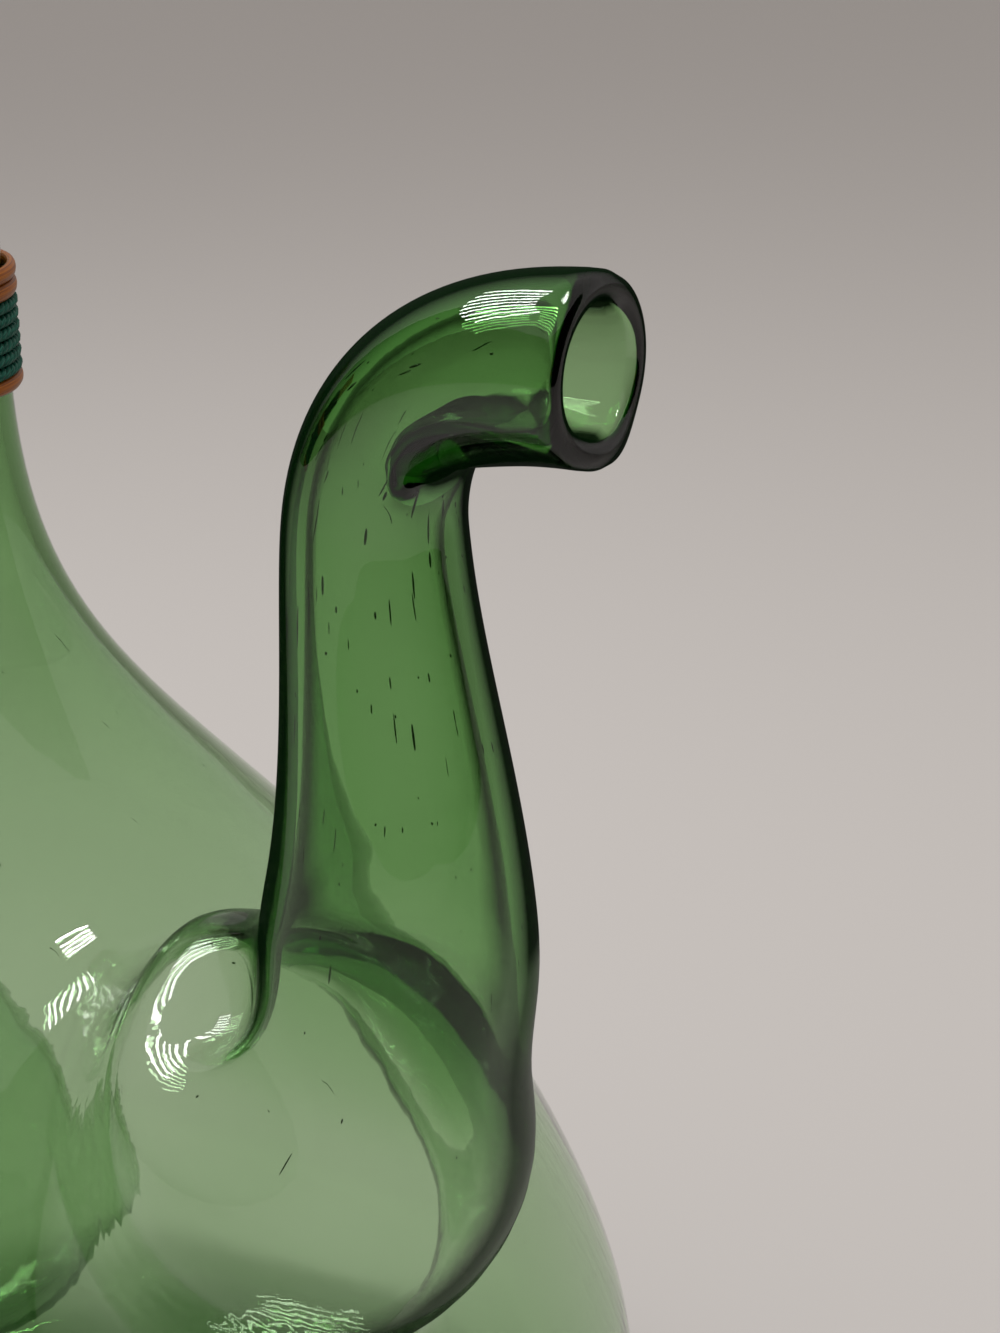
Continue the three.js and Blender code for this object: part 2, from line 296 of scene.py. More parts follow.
def bodyOutline(shape):
    climb = Vector((-math.cos(shape["shoulderSlope"]), math.sin(shape["shoulderSlope"])))
    shoulder = Vector(shape["shoulder"])
    belly = (
        (shape["baseRadius"], 0),
        (shape["baseRadius"] + shape["baseEase"], 0),
        (shape["bellyRadius"], shape["bellyHeight"] - shape["bellyEaseDown"]),
        (shape["bellyRadius"], shape["bellyHeight"]),
    )
    lower = (
        belly[3],
        (shape["bellyRadius"], shape["bellyHeight"] + shape["bellyEaseUp"]),
        shoulder - climb * shape["shoulderEaseDown"],
        shoulder,
    )
    upper = (
        shoulder,
        shoulder + climb * shape["shoulderEaseUp"],
        (shape["neckRadius"], shape["neckFoot"] - shape["neckEase"]),
        (shape["neckRadius"], shape["neckFoot"]),
    )
    points = [along(curve, step / 60) for curve in (belly, lower, upper) for step in range(60)]
    return points + [Vector(upper[3]), Vector((shape["neckRadius"], shape["neckTop"]))]


outline = bodyOutline(bodyShape)


def bodyRadiusAt(height):
    for low, high in zip(outline, outline[1:]):
        if height <= high.y:
            return between(low.x, high.x, (height - low.y) / max(high.y - low.y, 1e-9))
    return bodyShape["neckRadius"]


# Level distance of a place from the body's outside, positive outwards.
def offSkin(place):
    return math.hypot(place.x, place.y) - bodyRadiusAt(place.z)


def bodyWallAt(height):
    shape = bodyShape
    if height < shape["bellyHeight"]:
        share = math.sqrt(max(height, 0) / shape["bellyHeight"])
        return between(shape["baseWall"], shape["bellyWall"], share)
    share = min((height - shape["bellyHeight"]) / (shape["neckFoot"] - shape["bellyHeight"]), 1)
    return between(shape["bellyWall"], shape["neckWall"], share ** 3)


# Nearest place on the body's outside.
def ontoBody(place):
    across = math.hypot(place.x, place.y)
    spot = Vector((across, place.z))
    nearest, least = None, 1e9
    for low, high in zip(outline, outline[1:]):
        step = high - low
        share = min(max((spot - low).dot(step) / max(step.length_squared, 1e-12), 0), 1)
        found = low + step * share
        gap = (found - spot).length_squared
        if gap < least:
            nearest, least = found, gap
    return Vector((place.x * nearest.x / across, place.y * nearest.x / across, nearest.y))


# Heights of the body's rings, an even distance apart along the outline.
def ringStations(spacing):
    length = sum((high - low).length for low, high in zip(outline, outline[1:]))
    return evenly(outline, round(length / spacing) + 1)


def circlePlaces(radius, height, sides):
    turns = [2 * math.pi * number / sides for number in range(sides)]
    return [Vector((radius * math.cos(turn), radius * math.sin(turn), height)) for turn in turns]


def bodyCage():
    shape = bodyShape
    rings = []
    for spot in reversed(ringStations(shape["ringSpacing"])):
        rings.append((circlePlaces(spot.x, spot.y, shape["segments"]), bodyWallAt(spot.y)))
    for share, lift in shape["kickRings"]:
        places = circlePlaces(shape["baseRadius"] * share, shape["kick"] * lift, shape["segments"])
        rings.append((places, shape["baseWall"]))
    return drawOut("blown_glass", rings, closeEnd=True)


# The spout is drawn in a plane beside the body's axis, which is then turned about it.
def turnedSpout(place):
    turn = spoutShape["turn"]
    return Vector((
        place.x * math.cos(turn) - place.y * math.sin(turn),
        place.x * math.sin(turn) + place.y * math.cos(turn),
        place.z,
    ))


# Centre of the spout at a share of its rings, in its own plane.
def spoutCentre(share):
    shape = spoutShape
    aside = shape["sideways"]
    root = Vector((shape["root"][0], aside, shape["root"][1]))
    lean = Vector((shape["lean"][0], 0, shape["lean"][1]))
    tubeX = root.x + shape["tubeOffset"]
    foot = root.z + shape["tubeRise"]
    top = foot + shape["bendRise"]
    ring = share * (shape["stubSteps"] + shape["risingSteps"] + shape["bendingSteps"]) - shape["stubSteps"]
    if ring < 0:
        return root + lean.normalized() * shape["depth"] * ring / shape["stubSteps"]
    if ring < shape["risingSteps"]:
        rising = (root, root + lean, (tubeX, aside, foot - shape["tubeEase"]), (tubeX, aside, foot))
        return along(rising, ring / shape["risingSteps"])
    mouthX = tubeX + shape["mouthReach"]
    bending = (
        (tubeX, aside, foot),
        (tubeX, aside, foot + shape["bendEaseUp"]),
        (mouthX - shape["bendEaseOut"], aside - shape["mouthTwist"], top),
        (mouthX, aside, top),
    )
    return along(bending, (ring - shape["risingSteps"]) / shape["bendingSteps"])


spoutRoot = turnedSpout(Vector((spoutShape["root"][0], spoutShape["sideways"], spoutShape["root"][1])))


# Smooth curve through the spout's radii.
def spoutRadius(share):
    shares, radii = spoutShape["shares"], spoutShape["radii"]
    last = len(shares) - 1
    spot = min(max(sum(share >= mark for mark in shares) - 1, 0), last - 1)

    def slope(number):
        if number in (0, last):
            a, b = (0, 1) if number == 0 else (last - 1, last)
            return (radii[b] - radii[a]) / (shares[b] - shares[a])
        before = (radii[number] - radii[number - 1]) / (shares[number] - shares[number - 1])
        after = (radii[number + 1] - radii[number]) / (shares[number + 1] - shares[number])
        weight = (shares[number] - shares[number - 1]) / (shares[number + 1] - shares[number - 1])
        return before * (1 - weight) + after * weight

    width = shares[spot + 1] - shares[spot]
    t = (share - shares[spot]) / width
    return (
        radii[spot] * (2 * t ** 3 - 3 * t ** 2 + 1)
        + slope(spot) * width * (t ** 3 - 2 * t ** 2 + t)
        + radii[spot + 1] * (3 * t ** 2 - 2 * t ** 3)
        + slope(spot + 1) * width * (t ** 3 - t ** 2)
    )


def spoutWallAt(share):
    shape = spoutShape
    wall = between(shape["domeWall"], shape["tubeWall"], eased(ramp(share, *shape["thickens"])))
    return wall + (shape["mouthWall"] - shape["tubeWall"]) * max(share, 0) ** 6


# Wall at one side line, with the thick places where the glass gathered as it was drawn out.
def gatheredWall(share, number):
    wall = spoutWallAt(share)
    turn = 360 * number / spoutShape["sides"]
    for gather in spoutShape["gathers"]:
        alongIt = (share - gather["share"]) / gather["length"]
        roundIt = ((turn - gather["turn"] + 180) % 360 - 180) / gather["width"]
        near = max(1 - alongIt * alongIt - roundIt * roundIt, 0)
        wall += gather["extra"] * eased(near)
    return wall


# Moves a place near the spout's root as a tool would push the hot glass.
def pushed(place):
    moved = place.copy()
    for centre, reach, push in spoutShape["pushes"]:
        near = 1 - (place - Vector(centre) * mm).length / (reach * mm)
        if near > 0:
            moved += Vector(push) * mm * eased(near)
    return moved


def spoutPlace(share, number, inset=0):
    step = 0.002
    ahead = spoutCentre(min(share + step, 1)) - spoutCentre(max(share - step, 0))
    ahead.normalize()
    up = Vector((0, 1, 0))
    rise = (up - ahead * up.dot(ahead)).normalized()
    across = ahead.cross(rise)
    turn = 2 * math.pi * number / spoutShape["sides"]
    outwards = across * math.cos(turn) + rise * math.sin(turn)
    return turnedSpout(pushed(spoutCentre(share) + outwards * (spoutRadius(share) - inset)))


# Share at which one side line of the spout comes out through the body's skin.
def wayOut(number):
    def isInside(share):
        return offSkin(spoutPlace(share, number)) < spoutShape["mound"]
    return turningPoint(0, 0.5, isInside)


def shareAfter(number, share, distance):
    place, travelled = spoutPlace(share, number), 0
    while travelled < distance and share < 1:
        share += 0.0008
        ahead = spoutPlace(share, number)
        travelled += (ahead - place).length
        place = ahead
    return share


def spoutCage():
    shape = spoutShape
    sides = range(shape["sides"])
    ringCount = shape["stubSteps"] + shape["risingSteps"] + shape["bendingSteps"]
    crossings = [wayOut(number) for number in sides]
    marks = [spoutPlace(crossings[number], number) for number in sides]
    middle = sum(marks, Vector()) / shape["sides"]
    skirt = []
    for mark in marks:
        onSkin = ontoBody(mark)
        outwards = (onSkin - ontoBody(middle)).normalized()
        foot = ontoBody(onSkin + outwards * shape["fillet"])
        skirt.append(foot + (mark - onSkin) * shape["moundShare"])
    rings = [(skirt, [bodyWallAt(place.z) for place in skirt])]
    starts = [shareAfter(number, crossings[number], shape["fillet"] * 0.5) for number in sides]
    full = shape["firstFullRing"] / ringCount
    for blend in shape["ringBlends"]:
        shares = [between(starts[number], full, blend) for number in sides]
        rings.append(([spoutPlace(shares[n], n) for n in sides], [gatheredWall(shares[n], n) for n in sides]))
    for ring in range(shape["firstFullRing"], ringCount + 1):
        share = ring / ringCount
        walls = [gatheredWall(share, number) for number in sides]
        rings.append(([spoutPlace(share, number) for number in sides], walls))
    return drawOut("spout_draft", rings), skirt


# Lift of the shoulder towards the spout's skirt, so that the skin rises to it in one sweep.
def moundAround(skirt):
    def liftAt(place):
        nearest = min(skirt, key=lambda spot: (spot - place).length)
        away = max(1 - (nearest - place).length / spoutShape["moundReach"], 0)
        return (nearest - ontoBody(nearest)) * away * away
    return liftAt


pocketMouth = Vector((-bodyRadiusAt(pocketShape["height"]), 0, pocketShape["height"]))
pocketAxis = Vector((math.cos(pocketShape["tilt"]), 0, -math.sin(pocketShape["tilt"])))


def pocketPlace(radius, depth, number):
    turn = 2 * math.pi * number / pocketShape["sides"]
    rise = Vector((0, 1, 0)).cross(pocketAxis)
    outwards = rise * math.cos(turn) + Vector((0, 1, 0)) * math.sin(turn)
    return pocketMouth + pocketAxis * depth + outwards * radius


# Depth at which a line along the pocket's axis meets the body's skin.
def skinDepth(radius, number):
    def isOutside(depth):
        return offSkin(pocketPlace(radius, depth, number)) > 0
    return turningPoint(-40 * mm, 30 * mm, isOutside)


def pocketCage():
    shape = pocketShape
    sides = range(shape["sides"])

    def onSkin(radius, lift):
        return [pocketPlace(radius, skinDepth(radius, number) - lift, number) for number in sides]

    def ring(radius, depth):
        return [pocketPlace(radius, depth, number) for number in sides]

    rings = [(onSkin(radius, lift), shape["wall"]) for radius, lift in shape["skinRings"]]
    rings += [(ring(radius, depth), shape["rimWall"]) for radius, depth in shape["rimRings"]]
    mouth = shape["mouthRadius"] - shape["wall"]
    bulge = mouth + shape["bulge"]
    endDepth = shape["depth"] - shape["end"]
    pouch = (
        (mouth, 0),
        (mouth, shape["easeIn"]),
        (bulge, endDepth - shape["easeOut"]),
        (bulge, endDepth),
    )
    for step in range(1, shape["pouchRings"] + 1):
        spot = along(pouch, between(shape["pouchFrom"], 1, step / shape["pouchRings"]))
        rings.append((ring(spot.x, spot.y), shape["wall"]))
    for turn in shape["endTurns"]:
        angle = math.radians(turn)
        deep = endDepth + (shape["end"] - shape["wall"]) * math.sin(angle)
        rings.append((ring(bulge * math.cos(angle), deep), shape["wall"]))
    return drawOut("pocket_draft", rings, closeEnd=True)


# Opens the body where a draft comes through it and bridges the two edges.
def openAndBridge(body, draft, patch, facing, reach, liftAt=None):
    segments = bodyShape["segments"]
    half = math.pi * patch["patchSegments"] / segments
    low, high = patch["patchHeights"]
    pick(body)
    draft.select_set(True)
    bpy.ops.object.mode_set(mode="EDIT")
    bpy.ops.mesh.select_all(action="DESELECT")
    mesh = bmesh.from_edit_mesh(body.data)
    for face in mesh.faces:
        middle = face.calc_center_median()
        turn = math.atan2(middle.y * facing, middle.x * facing)
        face.select_set(abs(offSkin(middle)) < 3 * mm and abs(turn) < half and low < middle.z < high)
    bmesh.update_edit_mesh(body.data)
    bpy.ops.mesh.delete(type="FACE")
    bpy.ops.object.mode_set(mode="OBJECT")
    bpy.ops.object.join()
    kept = {tuple(round(value, 6) for value in vertex.co) for vertex in body.data.vertices}
    bpy.ops.object.mode_set(mode="EDIT")
    bpy.ops.mesh.select_all(action="DESELECT")
    mesh = bmesh.from_edit_mesh(body.data)
    centre = ontoBody(reach)
    for edge in mesh.edges:
        middle = (edge.verts[0].co + edge.verts[1].co) / 2
        if edge.is_boundary and (middle - centre).length < patch["patchReach"]:
            edge.select_set(True)
    bmesh.update_edit_mesh(body.data)
    bpy.ops.mesh.bridge_edge_loops(number_cuts=patch["patchCuts"], interpolation="LINEAR")
    mesh = bmesh.from_edit_mesh(body.data)
    wallLayer = mesh.verts.layers.float["wall"]
    for vertex in mesh.verts:
        if tuple(round(value, 6) for value in vertex.co) not in kept:
            vertex.co = ontoBody(vertex.co) + (liftAt(vertex.co) if liftAt else Vector())
            vertex[wallLayer] = bodyWallAt(vertex.co.z)
    bmesh.update_edit_mesh(body.data)
    bpy.ops.object.mode_set(mode="OBJECT")


def blownGlass():
    body = bodyCage()
    draft, skirt = spoutCage()
    openAndBridge(body, draft, spoutShape, 1, spoutRoot, moundAround(skirt))
    openAndBridge(body, pocketCage(), pocketShape, -1, pocketMouth)
    pick(body)
    bpy.ops.object.mode_set(mode="EDIT")
    bpy.ops.mesh.select_all(action="SELECT")
    bpy.ops.mesh.normals_make_consistent(inside=False)
    bpy.ops.object.mode_set(mode="OBJECT")
    walls = [entry.value for entry in body.data.attributes["wall"].data]
    thickest = max(walls) * 1.2
    group = body.vertex_groups.new(name="wall")
    for vertex, plainWall in zip(body.data.vertices, walls):
        wave = noise.noise(vertex.co / bodyShape["wobbleSize"])
        wall = plainWall * (1 + bodyShape["wobble"] * wave)
        group.add([vertex.index], wall / thickest, "REPLACE")
    soften(body)
    skin = body.modifiers.new("skin", "SOLIDIFY")
    skin.thickness = thickest
    skin.offset = -1
    skin.vertex_group = "wall"
    finishModifiers(body)
    roundRims(body)
    soften(body)
    finishModifiers(body)
    bpy.ops.object.shade_smooth()
    markDrawn(body)
    return body


# Keeps on each vertex how far the glass there is drawn out of the body, as the mask for the painted shade on its
# edges.
def markDrawn(body):
    shape = drawnShape
    marks = body.data.attributes.new("drawn", "FLOAT", "POINT")
    facing = turnedSpout(Vector((1, 0, 0)))
    for vertex, entry in zip(body.data.vertices, marks.data):
        past = ramp(vertex.co.dot(facing) - spoutShape["root"][0], *shape["pastRoot"])
        rise = max(ramp(vertex.co.z, *shape["height"]), min(past, shape["mostPastRoot"]))
        entry.value = rise * ramp(offSkin(vertex.co), *shape["offSkin"])


# Fire-polishes the two open ends: the outer and inner edges round their flat rims are bevelled.
def roundRims(body):
    mouth = turnedSpout(spoutCentre(1))
    neck = Vector((0, 0, bodyShape["neckTop"]))
    for centre, rim in ((mouth, rimShape["mouth"]), (neck, rimShape["neck"])):
        for width, isOuter in zip(rim["bevels"], (True, False)):
            pick(body)
            bpy.ops.object.mode_set(mode="EDIT")
            bpy.ops.mesh.select_all(action="DESELECT")
            mesh = bmesh.from_edit_mesh(body.data)
            for edge in mesh.edges:
                middle = (edge.verts[0].co + edge.verts[1].co) / 2
                away = (middle - centre).length
                sharp = edge.is_manifold and edge.calc_face_angle(0) > rimShape["sharp"]
                edge.select_set(sharp and away < rimShape["reach"] and (away > rim["outside"]) == isOuter)
            bmesh.update_edit_mesh(body.data)
            bpy.ops.mesh.bevel(offset=width, segments=rimShape["segments"], profile=0.5)
            bpy.ops.object.mode_set(mode="OBJECT")


glass = blownGlass()
report(f"glass, {len(glass.data.polygons)} faces")


glassLook = {
    "density": 325,
    "absorbs": (0.25, 0.62, 0.11, 1),
    "ior": 1.5,
    # Colour of the painted shade on the glass's edges, and the grazing range and share over which it is mixed in.
    "edge": (0.0015, 0.008, 0.002, 1),
    "paintedShadeFrom": 0.46,
    "paintedShadeTo": 0.66,
    "paintedShadeShare": 0.97,
    "flowScale": (170, 170, 16),
    "flowBump": 0.10,
    "flowDepth": 0.4 * mm,
    "shadow": (0.93, 0.93, 0.93, 1),
}


def newMaterial(name):
    material = bpy.data.materials.new(name)
    material.use_nodes = True
    nodes, links = material.node_tree.nodes, material.node_tree.links
    return material, nodes, links, nodes["Principled BSDF"]


# A node of a kind, with values on its inputs.
def addNode(nodes, kind, **values):
    node = nodes.new("ShaderNode" + kind)
    for name, value in values.items():
        node.inputs[name].default_value = value
    return node


def mathNode(nodes, operation):
    node = nodes.new("ShaderNodeMath")
    node.operation = operation
    return node


# Colour ramp through stops, each a position and a colour.
def colourRamp(nodes, *stops):
    node = nodes.new("ShaderNodeValToRGB")
    elements = node.color_ramp.elements
    (elements[0].position, elements[0].color), (elements[1].position, elements[1].color) = stops[0], stops[-1]
    for position, colour in stops[1:-1]:
        elements.new(position).color = colour
    return node


# Each link is (node, output, node, input).
def wire(links, *ends):
    for source, outlet, target, inlet in ends:
        links.new(source.outputs[outlet], target.inputs[inlet])


def glassMaterial():
    look = glassLook
    material, nodes, links, shader = newMaterial("green_glass")
    out = nodes["Material Output"]
    shader.inputs["Base Color"].default_value = (1, 1, 1, 1)
    shader.inputs["Roughness"].default_value = 0
    shader.inputs["IOR"].default_value = look["ior"]
    shader.inputs["Transmission Weight"].default_value = 1
    # A dark diffuse shader, mixed in where the drawn glass is seen at grazing angles, paints shade onto its edges.
    facing = addNode(nodes, "LayerWeight", Blend=0.5)
    edge = addNode(nodes, "MapRange", **{
        "From Min": look["paintedShadeFrom"], "From Max": look["paintedShadeTo"], "To Max": look["paintedShadeShare"],
    })
    drawn = addNode(nodes, "Attribute")
    drawn.attribute_name = "drawn"
    paintedShadeMask = mathNode(nodes, "MULTIPLY")
    dark = addNode(nodes, "BsdfDiffuse", Color=look["edge"])
    rim = addNode(nodes, "MixShader")
    place = addNode(nodes, "TexCoord")
    stretch = addNode(nodes, "Mapping", Scale=look["flowScale"])
    flow = addNode(nodes, "TexNoise", Scale=1, Detail=2)
    bump = addNode(nodes, "Bump", Strength=look["flowBump"], Distance=look["flowDepth"])
    path = addNode(nodes, "LightPath")
    clear = addNode(nodes, "BsdfTransparent", Color=look["shadow"])
    mix = addNode(nodes, "MixShader")
    colour = addNode(nodes, "VolumeAbsorption", Color=look["absorbs"], Density=look["density"])
    wire(
        links,
        (facing, "Facing", edge, "Value"),
        (edge, "Result", paintedShadeMask, 0),
        (drawn, "Fac", paintedShadeMask, 1),
        (paintedShadeMask, "Value", rim, "Fac"),
        (shader, "BSDF", rim, 1),
        (dark, "BSDF", rim, 2),
        (place, "Object", stretch, "Vector"),
        (stretch, "Vector", flow, "Vector"),
        (flow, "Fac", bump, "Height"),
        (bump, "Normal", shader, "Normal"),
        (path, "Is Shadow Ray", mix, "Fac"),
        (rim, "Shader", mix, 1),
        (clear, "BSDF", mix, 2),
        (mix, "Shader", out, "Surface"),
        (colour, "Volume", out, "Volume"),
    )
    return material


setMaterial(glass, glassMaterial())
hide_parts("glass_body", "pouring_spout", "ice_pocket")
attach(glass, "vessel")


# Seeds and streaks blown into the glass. Those of the body keep clear of the two joints, each given as an
# angle about the axis, a half width in radians and a range of heights.
seedShape = {
    "random": 11,
    "inSpout": 150,
    "inBody": 90,
    "spoutShares": (0.16, 0.98),
    "spoutInset": (0.35, 0.65),
    "bodyHeights": (30, 235),
    "bodyInset": (0.4, 0.6),
    "clearOf": ((math.pi, 0.5, 100 * mm, 175 * mm), (0, 0.6, 100 * mm, 200 * mm)),
    "halfWidths": (0.07 * mm, 0.17 * mm),
    "halfLengths": (0.25 * mm, 3.4 * mm),
    "dark": (0.035, 0.06, 0.02, 1),
    "pale": (0.12, 0.16, 0.08, 1),
}


def bodyPlace(turn, height, inset):
    radius = bodyRadiusAt(height) - inset
    return Vector((radius * math.cos(turn), radius * math.sin(turn), height))


def isClear(turn, height):
    for middle, half, low, high in seedShape["clearOf"]:
        away = abs(turn - middle)
        if min(away, 2 * math.pi - away) < half and low < height < high:
            return False
    return True


def seedSpots(draw):
    shape = seedShape
    for number in range(shape["inSpout"]):
        share = draw.uniform(*shape["spoutShares"])
        side = draw.uniform(0, spoutShape["sides"])
        inset = spoutWallAt(share) * draw.uniform(*shape["spoutInset"])
        ahead = spoutPlace(share + 0.01, side, inset) - spoutPlace(share - 0.01, side, inset)
        yield spoutPlace(share, side, inset), ahead.normalized()
    for number in range(shape["inBody"]):
        height = draw.uniform(*shape["bodyHeights"]) * mm
        turn = draw.uniform(0, 2 * math.pi)
        inset = bodyWallAt(height) * draw.uniform(*shape["bodyInset"])
        if isClear(turn, height):
            ahead = bodyPlace(turn + 0.01, height + 1 * mm, inset) - bodyPlace(turn, height - 1 * mm, inset)
            yield bodyPlace(turn, height, inset), ahead.normalized()


def seedMaterial():
    material, nodes, links, shader = newMaterial("glass_seed")
    shader.inputs["Roughness"].default_value = 0.25
    shader.inputs["Transmission Weight"].default_value = 0.35
    place = addNode(nodes, "TexCoord")
    specks = addNode(nodes, "TexNoise", Scale=300)
    tone = colourRamp(nodes, (0, seedShape["dark"]), (1, seedShape["pale"]))
    wire(
        links,
        (place, "Object", specks, "Vector"),
        (specks, "Fac", tone, "Fac"),
        (tone, "Color", shader, "Base Color"),
    )
    return material


def glassSeeds():
    draw = random.Random(seedShape["random"])
    deselectAll()
    bpy.ops.mesh.primitive_uv_sphere_add(segments=6, ring_count=6, radius=1)
    first = bpy.context.object
    seeds = []
    for spot, ahead in seedSpots(draw):
        width = draw.uniform(*seedShape["halfWidths"])
        length = between(*seedShape["halfLengths"], draw.random() ** 3)
        turn = ahead.to_track_quat("Z", "X").to_matrix().to_4x4()
        copy = first.data.copy()
        copy.transform(Matrix.Translation(spot) @ turn @ Matrix.Diagonal((width, width, max(length, width), 1)))
        seed = bpy.data.objects.new("seed", copy)
        scene.collection.objects.link(seed)
        seeds.append(seed)
    bpy.data.objects.remove(first)
    seeds = joinAll(seeds, "glass_seeds")
    bpy.ops.object.shade_smooth()
    setMaterial(seeds, seedMaterial())
    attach(seeds, "vessel")


glassSeeds()
report("seeds in the glass")


bindingShape = {
    "foot": 259.6 * mm,
    "fitGap": 0.3 * mm,
    "ringCane": 6 * mm,
    "lowerCane": {"turns": 1, "pitch": 2.4 * mm, "size": 1.9 * mm},
    "cord": {"turns": 6, "pitch": 2.1 * mm, "size": 1.65 * mm},
    "upperCane": {"turns": 2, "pitch": 2.7 * mm, "size": 2 * mm},
    "stepsPerTurn": 64,
    "cordStepsPerTurn": 150,
    "strands": 3,
    "lay": 4.2 * mm,
    "strandAway": 0.46,
    "strandHalf": 0.56,
    "cordFill": 0.98,
    "stripWide": 0.98,
    "stripThick": 0.92,
    "stripBack": 0.36,
    "stripSides": 12,
    "stripSwell": 0.05,
}

ringX = -(bodyShape["neckRadius"] + bindingShape["fitGap"] + bindingShape["ringCane"] / 2)


# Fine points of one pass round the neck and the ring's cane, as far out as the middle of the cord.
def tightLoop(half):
    gap = bindingShape["fitGap"]
    neck = bodyShape["neckRadius"] + gap + half
    cane = bindingShape["ringCane"] / 2 + gap + half
    lean = math.acos((neck - cane) / -ringX)
    spots = []
    for step in range(31):
        turn = math.pi - lean + 2 * lean * step / 30
        spots.append(Vector((ringX + cane * math.cos(turn), cane * math.sin(turn))))
    for step in range(91):
        turn = math.pi + lean + 2 * (math.pi - lean) * step / 90
        spots.append(Vector((neck * math.cos(turn), neck * math.sin(turn))))
    start = (spots[0] + spots[-1]) / 2
    return [start, *spots, start]


def windingPath(run, foot, stepsPerTurn):
    loop = tightLoop(run["size"] / 2)
    loop = evenly(loop, stepsPerTurn + 1)
    path = []
    for turn in range(run["turns"]):
        for step, spot in enumerate(loop[1 if turn else 0:]):
            share = (step + (1 if turn else 0)) / stepsPerTurn
            path.append(Vector((spot.x, spot.y, foot + run["pitch"] * (turn + share))))
    return path[1:-1]


# Sweeps a round or a drawn section along points as a curve and makes it a mesh.
def sweep(name, path, half, sides=8, section=None, closed=False, swells=None):
    bend = bpy.data.curves.new(name, "CURVE")
    bend.dimensions = "3D"
    bend.twist_mode = "Z_UP" if section else "MINIMUM"
    bend.use_fill_caps = not closed
    line = bend.splines.new("POLY")
    line.points.add(len(path) - 1)
    for point, place in zip(line.points, path):
        point.co = (*place, 1)
    if swells:
        for point, swell in zip(line.points, swells):
            point.radius = swell
    line.use_cyclic_u = closed
    if section:
        bend.bevel_mode = "OBJECT"
        bend.bevel_object = section
    else:
        bend.bevel_depth = half
        bend.bevel_resolution = sides // 2 - 2
    piece = bpy.data.objects.new(name, bend)
    scene.collection.objects.link(piece)
    pick(piece)
    bpy.ops.object.convert(target="MESH")
    piece = bpy.context.object
    bpy.ops.object.mode_set(mode="EDIT")
    bpy.ops.mesh.select_all(action="SELECT")
    bpy.ops.mesh.remove_doubles(threshold=1e-6)
    bpy.ops.mesh.normals_make_consistent(inside=False)
    bpy.ops.object.mode_set(mode="OBJECT")
    bpy.ops.object.shade_smooth()
    length = sum((b - a).length for a, b in zip(path, path[1:]))
    for entry in piece.data.uv_layers[0].uv:
        entry.vector.x *= length
    return piece


# Flat-backed strip of split cane, bowed outwards, as a closed curve.
def stripSection(width, thick):
    drawing = bpy.data.curves.new("strip_section", "CURVE")
    line = drawing.splines.new("POLY")
    sides = bindingShape["stripSides"]
    line.points.add(sides - 1)
    for step, point in enumerate(line.points):
        turn = 2 * math.pi * step / sides
        out, up = math.cos(turn), math.sin(turn)
        depth = thick / 2 if out > 0 else thick * bindingShape["stripBack"]
        point.co = (math.copysign(depth * abs(out) ** 0.8, out), width / 2 * up, 0, 1)
    line.use_cyclic_u = True
    holder = bpy.data.objects.new("strip_section", drawing)
    scene.collection.objects.link(holder)
    return holder


def caneStrip(name, run, foot):
    shape = bindingShape
    path = windingPath(run, foot, shape["stepsPerTurn"])
    section = stripSection(run["pitch"] * shape["stripWide"], run["size"] * shape["stripThick"])
    waves = [noise.noise(Vector((number * 0.4, 0.3, foot * 900))) for number in range(len(path))]
    swells = [1 + shape["stripSwell"] * wave for wave in waves]
    strip = sweep(name, path, 0, section=section, swells=swells)
    bpy.data.objects.remove(section)
    return strip


def twistedCord(name, run, foot):
    shape = bindingShape
    path = windingPath(run, foot, shape["cordStepsPerTurn"])
    half = run["pitch"] * shape["cordFill"] / 2
    strands = []
    for strand in range(shape["strands"]):
        twisted, length = [], 0
        for before, place, after in zip(path, path[1:], path[2:]):
            ahead = (after - before).normalized()
            up = (Vector((0, 0, 1)) - ahead * ahead.z).normalized()
            length += (place - before).length
            turn = 2 * math.pi * (strand / shape["strands"] + length / shape["lay"])
            outwards = ahead.cross(up) * math.cos(turn) + up * math.sin(turn)
            twisted.append(place + outwards * half * shape["strandAway"])
        strands.append(sweep(name, twisted, half * shape["strandHalf"], sides=6))
    return joinAll(strands, name)


ringShape = {
    "reach": 50 * mm,
    "overlap": 3 * mm,
    "ease": 26 * mm,
    "steps": 180,
    "sides": 20,
    "nodes": (0.23, 0.52, 0.8),
    "nodeHalf": 0.008,
    "grooveAfter": 0.014,
    "grooveHalf": 0.004,
    "nodeSwell": 0.05,
    "plainSwell": 0.985,
    "wave": 0.012,
}


def carryingRing(low, high):
    shape = ringShape
    low, high = low - shape["overlap"], high + shape["overlap"]
    middle, farX = (low + high) / 2, ringX - shape["reach"]
    near = Vector((ringX, 0, low)), Vector((ringX, 0, high))
    far, ease = Vector((farX, 0, middle)), Vector((0, 0, shape["ease"]))
    below = (near[0], near[0] - ease, far - ease, far)
    above = (far, far + ease, near[1] + ease, near[1])
    spots = [along(curve, step / 80) for curve in (below, above) for step in range(80)]
    spots += [Vector(above[3]), Vector(below[0])]
    path = evenly(spots, shape["steps"] + 1)[:-1]
    swells = []
    for number in range(shape["steps"]):
        share = number / shape["steps"]
        swell = sum(math.exp(-((share - node) / shape["nodeHalf"]) ** 2) for node in shape["nodes"])
        grooves = [(share - node - shape["grooveAfter"]) / shape["grooveHalf"] for node in shape["nodes"]]
        swell -= sum(math.exp(-(groove ** 2)) for groove in grooves)
        wave = noise.noise(Vector((share * 30, 0, 0)))
        swells.append(shape["plainSwell"] + shape["nodeSwell"] * swell + shape["wave"] * wave)
    return sweep("ring_cane", path, bindingShape["ringCane"] / 2, sides=shape["sides"], closed=True, swells=swells)


